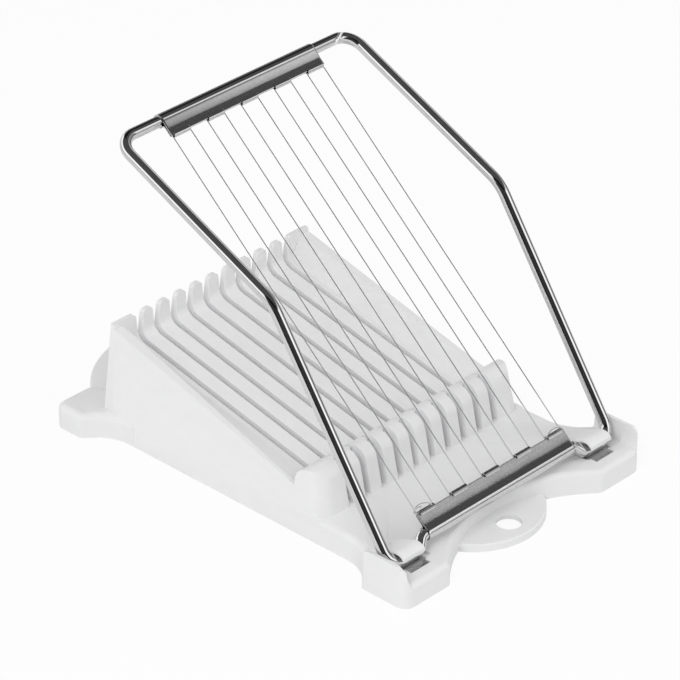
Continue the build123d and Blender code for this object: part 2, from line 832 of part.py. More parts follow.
        # Seat of the keeper plate, and the hole for its screw
        with BuildSketch(Plane.XY.offset(plate_z)):
            with Locations((side * plate_mid_x, plate_mid_y)):
                Rectangle(plate_width + 2 * plate_play, plate_run + 2 * plate_play)
        extrude(amount=-(plate_z - deck_under_z), mode=Mode.SUBTRACT)
        with BuildSketch(Plane.XY.offset(plate_z)):
            with Locations((side * plate_mid_x, screw_y)):
                Circle(screw_d / 2 + screw_fit)
        extrude(amount=screw_length - plate_thick + screw_spare, mode=Mode.SUBTRACT)
    # Hanging hole
    with BuildSketch():
        with Locations((0, hang_hole_y)):
            Circle(hang_hole_d / 2)
    extrude(amount=deck_z, mode=Mode.SUBTRACT)
base.part.label = "base"


# Keeper plates: small stainless plates that close the hinge seats from below
keepers = []
for side, name in ((-1, "left"), (1, "right")):
    with BuildPart() as keeper_plate:
        with BuildSketch(Plane.XY.offset(plate_z)):
            with Locations((side * plate_mid_x, plate_mid_y)):
                RectangleRounded(plate_width, plate_run, plate_corner_r)
            with Locations((side * plate_mid_x, screw_y)):
                Circle(screw_d / 2 + screw_fit, mode=Mode.SUBTRACT)
        extrude(amount=-plate_thick)
    keeper_plate.part.label = f"keeper_plate_{name}"
    with BuildPart() as keeper_screw:
        with BuildSketch(Plane.XY.offset(plate_z - plate_thick)):
            with Locations((side * plate_mid_x, screw_y)):
                Circle(screw_d / 2)
        extrude(amount=screw_length)
        with BuildSketch(Plane.XY.offset(plate_z - plate_thick)):
            with Locations((side * plate_mid_x, screw_y)):
                Circle(screw_head_d / 2)
        extrude(amount=-screw_head)
        head_rim = keeper_screw.edges().filter_by(GeomType.CIRCLE).group_by(Axis.Z)[0]
        chamfer(head_rim, screw_head_chamfer)
        with BuildSketch(Plane.XY.offset(plate_z - plate_thick - screw_head)):
            with Locations((side * plate_mid_x, screw_y)):
                Rectangle(screw_cross, screw_cross_width)
                Rectangle(screw_cross_width, screw_cross)
        extrude(amount=screw_cross_depth, mode=Mode.SUBTRACT)
    keeper_screw.part.label = f"keeper_screw_{name}"
    keepers += [keeper_plate.part, keeper_screw.part]

# Move every part so that the slicer's box is centred, and write the files
middle_y = (front_tab_y - front_tab_r + rear_tab_y + rear_tab_r) / 2
for node in [base.part, *keepers, frame_rod.part, lower_clamp, top_clamp, *wires]:
    centred = Pos(0, -middle_y, 0) * node
    centred.label = node.label
    export_step(centred, f"parts/{node.label}.step")
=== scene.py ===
# %% [markdown]
# # Luncheon meat slicer
# A white plastic cradle holds a block of luncheon meat. A hinged frame of steel rod presses ten
# taut wires through the block and into the slots of the bed, so that one push makes eleven slices.
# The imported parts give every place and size. The cells below load them as a fixed frame, then give
# each piece the surface and the finish that the real one has, and at the end set up the studio.

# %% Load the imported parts
import json

import bmesh
import bpy
import numpy as np
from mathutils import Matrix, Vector


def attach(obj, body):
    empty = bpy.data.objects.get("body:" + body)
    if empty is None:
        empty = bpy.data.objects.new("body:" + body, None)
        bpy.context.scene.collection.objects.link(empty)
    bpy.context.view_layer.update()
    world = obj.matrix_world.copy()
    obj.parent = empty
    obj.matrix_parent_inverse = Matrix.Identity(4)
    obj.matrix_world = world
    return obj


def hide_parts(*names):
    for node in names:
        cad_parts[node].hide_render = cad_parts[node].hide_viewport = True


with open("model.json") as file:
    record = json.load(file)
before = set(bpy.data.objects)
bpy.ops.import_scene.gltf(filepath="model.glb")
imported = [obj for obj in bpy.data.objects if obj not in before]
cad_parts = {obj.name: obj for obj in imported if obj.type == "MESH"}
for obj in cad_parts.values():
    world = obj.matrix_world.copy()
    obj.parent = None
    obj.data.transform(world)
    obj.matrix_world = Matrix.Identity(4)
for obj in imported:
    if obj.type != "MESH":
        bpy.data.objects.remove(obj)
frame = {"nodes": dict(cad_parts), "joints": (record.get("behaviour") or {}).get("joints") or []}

MM = 0.001
nodes = frame["nodes"]
hinge = np.array(frame["joints"][0]["pos_m"])
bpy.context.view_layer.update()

# %% [markdown]
# ## The camera
# The photograph was taken from well away with a long lens, from the left front and from above: the
# slots hardly draw together with distance. The camera stands where the lines of the picture meet.
# Its place, the point that it looks at and its lens were fitted to the wires, legs, feet and slots.

# %% Camera
camera_place = Vector((-0.82349, -0.79069, 0.71639))
camera_target = Vector((-0.00544, -0.01388, 0.04558))

camera_data = bpy.data.cameras.new("camera")
camera_data.lens = 208.64
camera_data.sensor_width = 36
camera = bpy.data.objects.new("camera", camera_data)
camera.location = camera_place
camera.rotation_euler = (camera_target - camera_place).to_track_quat("-Z", "Y").to_euler()
bpy.context.scene.collection.objects.link(camera)
bpy.context.scene.camera = camera
print("the camera stands", round((camera_target - camera_place).length, 3), "m away")

# %% [markdown]
# ## How the pieces are made
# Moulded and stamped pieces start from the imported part. Its mesh is loose triangles with edges as
# sharp as a knife, so a copy is merged, its flat regions become single faces, and its edges get the
# small round that every mould and every press leaves. Each finished mesh becomes a piece that rides
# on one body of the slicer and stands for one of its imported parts.

# %% Helpers for pieces
close_together = 0.002 * MM
same_place = 0.0001 * MM
flat_angle = np.radians(0.6)
sharp_angle = np.radians(35)


def merged_copy(node, from_left_half=False):
    """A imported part's mesh with its loose triangles joined, and its flat regions made one face.

    A part that is alike on both sides can be made from its left half and that half's mirror image.
    """
    mesh = nodes[node].data.copy()
    shape = bmesh.new()
    shape.from_mesh(mesh)
    bmesh.ops.remove_doubles(shape, verts=shape.verts, dist=close_together)
    if from_left_half:
        whole = [*shape.verts, *shape.edges, *shape.faces]
        bmesh.ops.bisect_plane(shape, geom=whole, plane_no=(1, 0, 0), clear_outer=True)
        half = [*shape.verts, *shape.edges, *shape.faces]
        bmesh.ops.mirror(shape, geom=half, axis="X", merge_dist=close_together)
        bmesh.ops.remove_doubles(shape, verts=shape.verts, dist=same_place)
    bmesh.ops.dissolve_limit(shape, angle_limit=flat_angle, verts=shape.verts, edges=shape.edges)
    bmesh.ops.recalc_face_normals(shape, faces=shape.faces)
    shape.to_mesh(mesh)
    shape.free()
    return mesh


def add_piece(name, mesh, material, body, stands_for=()):
    """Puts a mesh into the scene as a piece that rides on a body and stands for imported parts."""
    mesh.shade_smooth()
    mesh.set_sharp_from_angle(angle=sharp_angle)
    mesh.materials.clear()
    mesh.materials.append(material)
    piece = bpy.data.objects.new(name, mesh)
    bpy.context.scene.collection.objects.link(piece)
    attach(piece, body)
    if stands_for:
        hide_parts(*stands_for)
    print(name, "has", len(mesh.polygons), "faces and rides on", body)
    return piece


def soften(piece, width, angle):
    """Rounds the edges that are sharper than an angle, as a bevel that stays live."""
    bevel = piece.modifiers.new("soft_edges", "BEVEL")
    bevel.width = width * MM
    bevel.segments = 2
    bevel.limit_method = "ANGLE"
    bevel.angle_limit = np.radians(angle)


# %% [markdown]
# ## How the finishes are made
# Every finish is a Principled shader whose roughness, colour and bump come from noise on the
# piece's own coordinates, so the grain has a real size and moves with the piece. Stretching the
# noise along one direction turns grain into brushing or drawing lines. A picture of the grain would
# need every piece unwrapped first, and noise doesn't. Values that are the same everywhere sit on
# the shader itself.

# %% Helpers for materials
usual_noise = (0.3, 0.7)


def new_material(name, color, metallic):
    """A material with its Principled shader, its colour and whether it is metal."""
    material = bpy.data.materials.new(name)
    material.use_nodes = True
    tree = material.node_tree
    shader = tree.nodes["Principled BSDF"]
    shader.inputs["Base Color"].default_value = (*color, 1)
    shader.inputs["Metallic"].default_value = metallic
    return material, tree, shader


def grain(tree, size, stretch=(1, 1, 1), detail=2):
    """Noise whose grains are a size in millimetres, longer where a stretch factor is above 1."""
    coordinates = tree.nodes.new("ShaderNodeTexCoord")
    mapping = tree.nodes.new("ShaderNodeMapping")
    noise = tree.nodes.new("ShaderNodeTexNoise")
    mapping.inputs["Scale"].default_value = [1 / (size * MM * factor) for factor in stretch]
    noise.inputs["Scale"].default_value = 1
    noise.inputs["Detail"].default_value = detail
    tree.links.new(coordinates.outputs["Object"], mapping.inputs["Vector"])
    tree.links.new(mapping.outputs["Vector"], noise.inputs["Vector"])
    return noise.outputs["Fac"]


def spread(tree, noise, low, high):
    """Noise spread so far that its usual range reaches from a low to a high value."""
    ramp = tree.nodes.new("ShaderNodeMapRange")
    ramp.inputs["From Min"].default_value = usual_noise[0]
    ramp.inputs["From Max"].default_value = usual_noise[1]
    ramp.inputs["To Min"].default_value = low
    ramp.inputs["To Max"].default_value = high
    tree.links.new(noise, ramp.inputs["Value"])
    return ramp.outputs["Result"]


def tint(tree, value, at_zero, at_one, socket):
    """Sends a value to a colour socket, as a mix of the colours that it has at zero and at one."""
    mix = tree.nodes.new("ShaderNodeMix")
    mix.data_type = "RGBA"
    mix.inputs["A"].default_value = (*at_zero, 1)
    mix.inputs["B"].default_value = (*at_one, 1)
    tree.links.new(value, mix.inputs["Factor"])
    tree.links.new(mix.outputs["Result"], socket)
    return mix


def relief(tree, shader, noise, depth, before=None):
    """Turns noise into relief of a depth in millimetres, on top of an earlier relief."""
    bump = tree.nodes.new("ShaderNodeBump")
    bump.inputs["Strength"].default_value = 1
    bump.inputs["Distance"].default_value = depth * MM
    tree.links.new(noise, bump.inputs["Height"])
    if before is not None:
        tree.links.new(before, bump.inputs["Normal"])
    tree.links.new(bump.outputs["Normal"], shader.inputs["Normal"])
    return bump.outputs["Normal"]


# %% [markdown]
# ## White plastic
# The cradle is one injection moulding, in the cheap white plastic of most kitchen tools. The mould
# was spark eroded to a fine satin, and the surface copies it: grains of about a third of a
# millimetre, a few micrometres deep. Over some centimetres the walls shrink unevenly while they
# cool, which shows as faint waves. The colour is a plain cool white, a touch greyer where it rubs.

# %% White plastic material
white_plastic, tree, shader = new_material("white_plastic", (0.84, 0.84, 0.845), metallic=0)
shader.inputs["IOR"].default_value = 1.49
satin = grain(tree, 0.35, detail=3)
waves = grain(tree, 14, detail=1)
rubbed = grain(tree, 3.5, stretch=(1, 3, 1), detail=4)
tint(tree, rubbed, (0.815, 0.815, 0.82), (0.865, 0.865, 0.87), shader.inputs["Base Color"])
tree.links.new(spread(tree, rubbed, 0.36, 0.5), shader.inputs["Roughness"])
wavy = relief(tree, shader, waves, depth=0.12)
relief(tree, shader, satin, depth=0.007, before=wavy)
print(white_plastic.name, "has", len(tree.nodes), "nodes")

# %% [markdown]
# ## The cradle
# The cradle takes the most skill: a sloping bed of nine slats between two side rails that rise
# towards the comb, a rounded bump at the front, and ten slots that run through them all. It could
# be modelled again from boxes and cuts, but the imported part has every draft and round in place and
# only lacks soft edges. So a copy is merged and its edges are rounded by a quarter of a millimetre,
# which is what catches a thin light line along every slat, tooth and foot in the photograph. Both
# front feet have a lip along their outer edge that keeps the rod's leg in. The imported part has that
# lip on the left foot only, so the cradle is made from its left half and that half's mirror image.

# %% Cradle
cradle = add_piece(
    "cradle_shell",
    merged_copy("base", from_left_half=True),
    white_plastic,
    "base_unit",
    stands_for=["base"],
)
soften(cradle, width=0.25, angle=40)

# %% [markdown]
# ## Polished rod
# The frame is four millimetre stainless rod, drawn and then polished, so it mirrors the room in
# long bands. What is left of the drawing shows as very faint ripples, and handling has left some
# duller patches. Along the slanted cut where its ends meet, a thin line is coloured matt and
# whitish. The mesh stores how near each point is to that cut, and the material reads it.

# %% Helpers for painted numbers
def painted(tree, name):
    """The number that the mesh stores under a name, as a node's output."""
    reader = tree.nodes.new("ShaderNodeAttribute")
    reader.attribute_name = name
    return reader.outputs["Fac"]


def calculate(tree, operation, *terms):
    """The result of a calculation whose terms are numbers or other nodes' outputs."""
    math = tree.nodes.new("ShaderNodeMath")
    math.operation = operation
    for term, socket in zip(terms, math.inputs):
        if isinstance(term, (int, float)):
            socket.default_value = term
        else:
            tree.links.new(term, socket)
    return math.outputs["Value"]


# %% Rod material
rod_steel, tree, shader = new_material("rod_steel", (0.7, 0.7, 0.7), metallic=1)
patches = grain(tree, 6, detail=3)
# A thin line along the slanted cut is coloured whitish and matt, where the mesh's number is high
whitish_line = painted(tree, "whitish_line")
whitish = tint(tree, whitish_line, (0.7, 0.7, 0.7), (0.93, 0.93, 0.92), shader.inputs["Base Color"])
tint(tree, patches, (0.64, 0.64, 0.645), (0.76, 0.76, 0.755), whitish.inputs["A"])
tree.links.new(spread(tree, patches, 0.05, 0.12), shader.inputs["Roughness"])
tree.links.new(calculate(tree, "SUBTRACT", 1, whitish_line), shader.inputs["Metallic"])
relief(tree, shader, grain(tree, 2.2), depth=0.003)
print(rod_steel.name, "has", len(tree.nodes), "nodes")

# %% [markdown]
# ## Bent rod and wire
# Rod and wire are made by bending a constant round section along a path, and the code does the
# same: the path is drawn as straight runs with round bends, rings of points are set square to it,
# and the rings are skinned. Points are written in millimetres from the table right below the hinge
# line, as on a drawing.

# %% Helpers for rod and wire
def place(points):
    """Points in millimetres, measured from the table right below the hinge line, in the frame."""
    return np.asarray(points, float) * MM + (0, hinge[1], 0)


def unit(vectors):
    """Vectors made one long."""
    return vectors / np.linalg.norm(vectors, axis=-1, keepdims=True)


def rounded_path(corners, radii, closed=False, arc_steps=20):
    """Points along straight runs that are joined by round bends.

    A bend of radius r that turns by t starts r tan(t/2) before its corner. Its centre lies
    r / cos(t/2) from the corner, on the line that halves the angle. Between its first spoke a and
    its last spoke b, the bend is centre + (sin((1-s)t) a + sin(s t) b) / sin(t), s from 0 to 1.
    """
    corners = np.asarray(corners, float)
    share = np.linspace(0, 1, arc_steps)[:, None]
    bends = range(len(corners)) if closed else range(1, len(corners) - 1)
    points = []
    for index, radius in zip(bends, radii):
        back = unit(corners[index - 1] - corners[index])
        ahead = unit(corners[(index + 1) % len(corners)] - corners[index])
        turn = np.pi - np.arccos(back @ ahead)
        centre = corners[index] + unit(back + ahead) * radius / np.cos(turn / 2)
        first = corners[index] + back * radius * np.tan(turn / 2) - centre
        last = corners[index] + ahead * radius * np.tan(turn / 2) - centre
        spokes = np.sin((1 - share) * turn) * first + np.sin(share * turn) * last
        points.append(centre + spokes / np.sin(turn))
    if not closed:
        points = [corners[:1], *points, corners[-1:]]
    return np.concatenate(points)


def runs_along(path):
    """How far along a path each of its points lies, as the sum of the steps before it."""
    return np.concatenate([[0], np.cumsum(np.linalg.norm(np.diff(path, axis=0), axis=1))])


def with_points_at(path, extra_runs):
    """The same path with more points, at given distances along it, and the distance of each."""
    all_runs = np.unique(np.concatenate([runs_along(path), extra_runs]).round(4))
    columns = [np.interp(all_runs, runs_along(path), path[:, axis]) for axis in range(3)]
    return np.stack(columns, axis=1), all_runs


def tube_rings(path, radius, sides, square_to, closed=False):
    """Rings round a path: centre + r (cos a N + sin a B).

    N is the part of a chosen direction that is square to the path, and B is square to both.
    """
    if closed:
        tangent = unit(np.roll(path, -1, axis=0) - np.roll(path, 1, axis=0))
    else:
        tangent = unit(np.gradient(path, axis=0))
    normal = unit(square_to - (tangent @ square_to)[:, None] * tangent)
    beside = np.cross(tangent, normal)
    angle = np.linspace(0, 2 * np.pi, sides, endpoint=False)[:, None]
    spoke = np.cos(angle) * normal[:, None] + np.sin(angle) * beside[:, None]
    return path[:, None] + radius * spoke


# %% Helpers for meshes from points
def skin(rings, closed=False):
    """Points and faces through rings: each face joins two neighbours to the same two of the next.

    An open row of rings is closed by one face at each end.
    """
    count, sides = rings.shape[:2]
    here = (np.arange(count if closed else count - 1) * sides)[:, None]
    there = (here + sides) % (count * sides)
    turn = np.arange(sides)
    after = (turn + 1) % sides
    quads = np.stack([here + turn, here + after, there + after, there + turn], axis=-1)
    faces = quads.reshape(-1, 4).tolist()
    if not closed:
        faces += [list(range(sides)), list(range((count - 1) * sides, count * sides))]
    return rings.reshape(-1, 3), faces


def mesh_from(name, points, faces):
    """A mesh from points in millimetres, with its faces turned outwards."""
    mesh = bpy.data.meshes.new(name)
    mesh.from_pydata(place(points).tolist(), [], faces)
    shape = bmesh.new()
    shape.from_mesh(mesh)
    bmesh.ops.recalc_face_normals(shape, faces=shape.faces)
    shape.to_mesh(mesh)
    shape.free()
    return mesh


def paint(mesh, name, values):
    """Stores one number per point of a mesh, for its material to read."""
    layer = mesh.attributes.new(name, "FLOAT", "POINT")
    spread_out = np.broadcast_to(np.asarray(values, np.float32), len(mesh.vertices))
    layer.data.foreach_set("value", np.ascontiguousarray(spread_out))


# %% [markdown]
# ## The rod's line
# One rod is bent to a closed loop: a lower bar between two cranks, the hinge pins, two legs with a
# kink, and the top bar. The bender leaves round bends. Only the right half is written down, and the
# left half is its mirror image.

# %% Rod's line
rod_r = 2.0
crank_inner_x = 37.6
crank_outer_x = 40.6
leg_x = 54.5
lower_bar_reach = 3.6
lower_leg_length = 93.3
upper_leg_length = 76.7
bend_radii = [3, 3, 6, 16, 7]


def rising(angle):
    """The direction away from the hinge that rises by an angle in degrees."""
    return np.array([0, np.cos(np.radians(angle)), np.sin(np.radians(angle))])


across = np.array([1.0, 0, 0])
lower_leg = rising(56.2)
upper_leg = rising(24.85)
hinge_point = np.array([0, 0, hinge[2] / MM])
lower_bar = hinge_point + lower_bar_reach * lower_leg
kink = hinge_point + lower_leg_length * lower_leg
top_bar = kink + upper_leg_length * upper_leg

right_corners = [
    lower_bar + crank_inner_x * across,
    hinge_point + crank_outer_x * across,
    hinge_point + leg_x * across,
    kink + leg_x * across,
    top_bar + leg_x * across,
]
left_corners = [corner * (-1, 1, 1) for corner in reversed(right_corners)]
loop = rounded_path(right_corners + left_corners, bend_radii + bend_radii[::-1], closed=True)
print("the rod is", round(runs_along(loop)[-1] + np.linalg.norm(loop[0] - loop[-1])), "mm long")

# %% [markdown]
# ## The rod loop
# The rod's two ends meet where the top right bend begins. They are cut at a slant, and show as a
# fine white line with a shallow groove on each side of it. A curve object with a round bevel would
# make the same rod, but it can't hold the grooves or the number that the material reads. The rings
# are worked out here instead, and they stand close together at the joint.

# %% Rod loop
rod_sides = 64
joint_place = np.array([49.1, 121.5, 119.1])
joint_normal = unit(np.array([-0.462, 0.784, 0.414]))
ring_zone = 4
ring_count = 81
line_half_width = 0.33
groove_from_line = 0.5
groove_half_width = 0.2
groove_depth = 0.12
groove_zone = 4.5
out_of_zone = 10
along_wires = unit(top_bar - lower_bar)
wire_side = np.cross(across, along_wires)

joint_run = runs_along(loop)[np.argmin(np.linalg.norm(loop - joint_place, axis=1))]
close_runs = np.linspace(joint_run - ring_zone, joint_run + ring_zone, ring_count)
loop, loop_runs = with_points_at(loop, close_runs)
rod_rings = tube_rings(loop, rod_r, rod_sides, wire_side, closed=True)

# A groove is groove_depth exp(-((distance from the joint - place) / half width)^2) deep. Farther
# along the rod, where it crosses the plane of the cut again, it stays round.
from_joint = np.abs((rod_rings - joint_place) @ joint_normal)
from_joint[np.abs(loop_runs - joint_run) > groove_zone] = out_of_zone
groove = groove_depth * np.exp(-(((from_joint - groove_from_line) / groove_half_width) ** 2))
rod_rings = loop[:, None] + (1 - groove / rod_r)[..., None] * (rod_rings - loop[:, None])
rod_mesh = mesh_from("rod_loop", *skin(rod_rings, closed=True))
paint(rod_mesh, "whitish_line", np.exp(-((from_joint / line_half_width) ** 4)).ravel())
add_piece("rod_loop", rod_mesh, rod_steel, "wire_frame", stands_for=["frame_rod"])

# %% [markdown]
# ## Sheet steel
# The clamp bars and the keeper plates are thin stainless sheet. The rolling mill leaves it brushed:
# streaks some millimetres long and a tenth wide, here along the bars. Where it is wrapped round the
# rod it was pulled smooth and is nearly as bright as the rod. The flat leaf of the lower bar is
# what fingers and knives rub against, so it is duller, and the light breaks up on it into small
# sparkles. The mesh stores how rubbed each point is.

# %% Sheet material
bright_roughness = 0.08
sheet_steel, tree, shader = new_material("sheet_steel", (0.68, 0.68, 0.68), metallic=1)
rubbed = painted(tree, "rubbed")
streaks = grain(tree, 0.09, stretch=(70, 1, 1), detail=3)
flecks = grain(tree, 0.5, stretch=(2.5, 1, 1), detail=4)
dulling = spread(tree, flecks, 0.1, 0.36)
roughness = calculate(tree, "MULTIPLY_ADD", dulling, rubbed, bright_roughness)
tree.links.new(roughness, shader.inputs["Roughness"])
tint(tree, flecks, (0.52, 0.52, 0.525), (0.84, 0.84, 0.835), shader.inputs["Base Color"])
relief(tree, shader, calculate(tree, "MULTIPLY", streaks, rubbed), depth=0.004)
print(sheet_steel.name, "has", len(tree.nodes), "nodes")

# %% [markdown]
# ## The clamp bars
# Each clamp bar is one strip of sheet, wrapped round the rod so far that both of its edges come to
# lie on each other. They are the two leaves that pinch the ends of the wires. The strip is a single
# surface here, a line across it carried along the bar. It gets the thickness of its sheet
# afterwards, which keeps it equally thick round every bend. The upper leaf leaves the rod without a
# crease and springs up a little towards its edge. On the top bar it runs out straight for longer,
# so it mirrors the room as one broad grey band, and it has a shallow line from the press beside the
# rod.

# %% Sizes of the clamp bars
# Heights and reaches are counted from the middle of the rod to the middle of the sheet
sheet = 0.4
clamp_half = 35.9
leaf_reach = 6.6
upper_leaf = 1.9
wire_height = 1.5
lower_leaf = 1.1
leaf_lift = 0.12
pressed_down = 0.04
sleeve_gap = 0.025
sleeve_r = rod_r + sleeve_gap + sheet / 2
neck_r = 0.8
press_place = 0.5
press_half_width = 0.35
worn_from = 2.2
worn_blend = 1.2
pitch = 7.85
wire_x = (np.arange(10) - 4.5) * pitch
bar_stations = 121
print("the wires stand", pitch, "mm apart, from", wire_x[0], "to", wire_x[-1])

# %% Helpers for sheet
def arc(centre, radius, first, last, count):
    """Points on an arc of a circle, from a first to a last angle in degrees."""
    angle = np.radians(np.linspace(first, last, count))
    return np.stack([centre[0] + radius * np.cos(angle), centre[1] + radius * np.sin(angle)], 1)


def bezier(points, count):
    """Points of a cubic curve: (1-t)^3 a + 3 (1-t)^2 t b + 3 (1-t) t^2 c + t^3 d, t from 0 to 1."""
    a, b, c, d = np.asarray(points, float)
    t = np.linspace(0, 1, count)[:, None]
    return (1 - t) ** 3 * a + 3 * (1 - t) ** 2 * t * b + 3 * (1 - t) * t**2 * c + t**3 * d


def sheet_mesh(sections, stations, bar, outward):
    """A sheet through one line per station along a bar, as faces between neighbouring points.

    A point (u, v) at station x lies at bar + x across + u outward + v wire side.
    """
    points = (
        bar
        + stations[:, None, None] * across
        + sections[..., :1] * outward
        + sections[..., 1:] * wire_side
    )
    count, width = sections.shape[:2]
    corner = (np.arange(count - 1) * width)[:, None] + np.arange(width - 1)
    faces = np.stack([corner, corner + 1, corner + width + 1, corner + width], axis=-1)
    return points.reshape(-1, 3), faces.reshape(-1, 4)


def thicken(piece):
    """Gives a surface the thickness of the sheet and its edges the round of a deburred cut."""
    solid = piece.modifiers.new("sheet", "SOLIDIFY")
    solid.thickness = sheet * MM
    solid.offset = 0
    solid.use_even_offset = True
    soften(piece, width=0.07, angle=50)


# %% Wrapped sheet
def strip_line(leaf):
    """The line across a strip, from the upper leaf's edge round the rod to the lower leaf's edge.

    The upper leaf leaves the round sleeve at an angle in degrees. It runs out straight for a
    while, eases into the flat, and is flat from a distance on. Beside the rod, the press leaves a
    dip that is press_mark exp(-((u - place) / half width)^2) deep.
    """
    leave = arc((0, 0), sleeve_r, leaf["leave_angle"], leaf["leave_angle"], count=1)[0]
    ahead = np.array([leave[1], -leave[0]]) / sleeve_r
    flat_start = np.array([leaf["flat_from"], upper_leaf])
    before_flat = flat_start - (leaf["ease"], 0)
    flat_u = np.linspace(leaf_reach, leaf["flat_from"], 8)
    flat = np.stack([flat_u, np.full_like(flat_u, upper_leaf)], axis=1)
    blend = bezier([flat_start, before_flat, leave + leaf["run_out"] * ahead, leave], count=36)
    dip = np.exp(-(((blend[:, 0] - press_place) / press_half_width) ** 2))
    blend[:, 1] -= leaf["press_mark"] * dip
    sleeve = arc((0, 0), sleeve_r, leaf["leave_angle"], 360, count=57)
    neck = arc((sleeve_r + neck_r, lower_leaf - neck_r), neck_r, 180, 90, count=9)
    return np.concatenate([flat[:-1], blend[:-1], sleeve, neck, [(leaf_reach, lower_leaf)]])


def wrapped_sheet(name, node, bar, outward, leaf, wear):
    """A strip of sheet round a bar of the rod, with its leaves pointing outward along the wires.

    From a distance on, the upper leaf rises towards its edge. The tabs press it down by
    pressed_down cos^2(pi t), with t the way from the middle of a tab, in steps from tab to tab.
    """
    line = strip_line(leaf)
    stations = np.linspace(-clamp_half, clamp_half, bar_stations)
    from_tab = (stations - wire_x[0] - pitch / 2) / (2 * pitch)
    lift = leaf_lift - pressed_down * np.cos(np.pi * from_tab) ** 2
    rise = np.clip((line[:, 0] - leaf["rise_from"]) / (leaf_reach - leaf["rise_from"]), 0, 1)
    sections = np.repeat(line[None], len(stations), axis=0)
    sections[..., 1] += lift[:, None] * rise * (line[:, 1] > wire_height)

    points, faces = sheet_mesh(sections, stations, bar, outward)
    mesh = mesh_from(name, points, faces.tolist())
    on_leaf = np.clip((line[:, 0] - worn_from) / worn_blend, 0, 1)
    paint(mesh, "rubbed", np.tile(wear * on_leaf, len(stations)))
    piece = add_piece(name, mesh, sheet_steel, "wire_frame", stands_for=[node])
    thicken(piece)


# %% [markdown]
# ## The tabs
# On the edge of the lower leaf stand five tabs, each between two wires, and these are folded over
# the upper leaf like the hem of a cloth. They press it down there by a few hundredths. Each tab is
# a half round fold and a lip, and the corners of the lip are cut round.

# %% Folded tabs
tab_play = 0.02
tab_r = (upper_leaf + leaf_lift + sheet - lower_leaf) / 2 + tab_play
tab_margin = 0.3
tab_stations = 45
lip_width = 1.0
lip_steps = np.array([0.25, 0.5, 0.75, 1])
corner_r = 0.55


def folded_tabs(name, bar, outward):
    """Five tabs, each a fold and a lip that narrows towards its sides along quarter circles."""
    all_points, all_faces, used = [], [], 0
    fold = arc((leaf_reach, lower_leaf + tab_r), tab_r, -90, 90, count=13)
    for first, last in zip(wire_x[0::2], wire_x[1::2]):
        stations = np.linspace(first + tab_margin, last - tab_margin, tab_stations)
        from_side = np.minimum(stations - stations[0], stations[-1] - stations)
        inset = np.clip(corner_r - from_side, 0, corner_r)
        lip = lip_width - (corner_r - np.sqrt(corner_r**2 - inset**2))
        lip_u = leaf_reach - lip[:, None] * lip_steps
        lip_v = np.full_like(lip_u, fold[-1, 1])
        folds = np.repeat(fold[None], len(stations), axis=0)
        sections = np.concatenate([folds, np.stack([lip_u, lip_v], axis=-1)], axis=1)
        points, faces = sheet_mesh(sections, stations, bar, outward)
        all_points.append(points)
        all_faces.append(faces + used)
        used += len(points)
    mesh = mesh_from(name, np.concatenate(all_points), np.concatenate(all_faces).tolist())
    thicken(add_piece(name, mesh, sheet_steel, "wire_frame"))


# %% Clamp bars
round_leaf = {
    "leave_angle": 80,
    "run_out": 1.2,
    "ease": 1.2,
    "flat_from": 4.2,
    "rise_from": 2.0,
    "press_mark": 0,
}
straight_leaf = {
    "leave_angle": 84.8,
    "run_out": 2.8,
    "ease": 0.4,
    "flat_from": 4.3,
    "rise_from": 3.8,
    "press_mark": 0.02,
}
wrapped_sheet("lower_bar_sheet", "lower_clamp", lower_bar, along_wires, round_leaf, wear=1)
folded_tabs("lower_bar_tabs", lower_bar, along_wires)
wrapped_sheet("top_bar_sheet", "top_clamp", top_bar, -along_wires, straight_leaf, wear=0.15)
folded_tabs("top_bar_tabs", top_bar, -along_wires)

# %% [markdown]
# ## Cutting wires
# The wires are hard drawn stainless, less than half a millimetre thick and tight as a string, so
# they are dead straight. Both ends are pinched between the leaves of the clamp bars, with a short
# hook that keeps them from slipping. Cylinders would do for the straight part, and a path with two
# round corners adds the hooks. Close over the white bed the wires look pale and nearly vanish,
# because they mirror the bed. That reflection is painted: the mesh stores how near each point is to
# the lower bar, and the material is painted matt and grey there.

# %% Wire material
wire_steel, tree, shader = new_material("wire_steel", (0.8, 0.8, 0.8), metallic=1)
drawn = grain(tree, 0.3, stretch=(1, 12, 12))
# Near the lower bar the colour is painted matt grey: a painted reflection of the white bed
pale = painted(tree, "pale")
painted_reflection_tint = tint(tree, pale, (0.8, 0.8, 0.8), (0.5, 0.5, 0.5), shader.inputs["Base Color"])
tint(tree, drawn, (0.74, 0.74, 0.745), (0.86, 0.86, 0.855), painted_reflection_tint.inputs["A"])
tree.links.new(spread(tree, drawn, 0.28, 0.42), shader.inputs["Roughness"])
tree.links.new(calculate(tree, "SUBTRACT", 1, pale), shader.inputs["Metallic"])
print(wire_steel.name, "has", len(tree.nodes), "nodes")

# %% Wires
wire_r = 0.2
wire_grip = 3.1
hook = 1.1
hook_bends = [0.5, 0.5]
painted_reflection_reach = 17

# Points a millimetre apart near the lower bar hold the painted reflection of the bed
painted_reflection_runs = np.arange(2, 42)
low_end = lower_bar + wire_grip * along_wires + wire_height * wire_side
high_end = top_bar - wire_grip * along_wires + wire_height * wire_side
for index, x in enumerate(wire_x):
    inwards = across if index % 2 == 0 else -across
    corners = [
        low_end + x * across + hook * inwards,
        low_end + x * across,
        high_end + x * across,
        high_end + x * across + hook * inwards,
    ]
    line, _ = with_points_at(rounded_path(corners, hook_bends, arc_steps=8), painted_reflection_runs)
    rings = tube_rings(line, wire_r, sides=14, square_to=wire_side)
    number = f"{index + 1:02d}"
    name = "cutting_wire_" + number
    mesh = mesh_from(name, *skin(rings))

    # The painted reflection of the bed fades with the distance from the bar, as exp(-(distance /
    # reach)^4)
    from_bar = (rings - low_end) @ along_wires
    paint(mesh, "pale", np.exp(-((from_bar / painted_reflection_reach) ** 4)).ravel())
    add_piece(name, mesh, wire_steel, "wire_frame", stands_for=["wire_" + number])

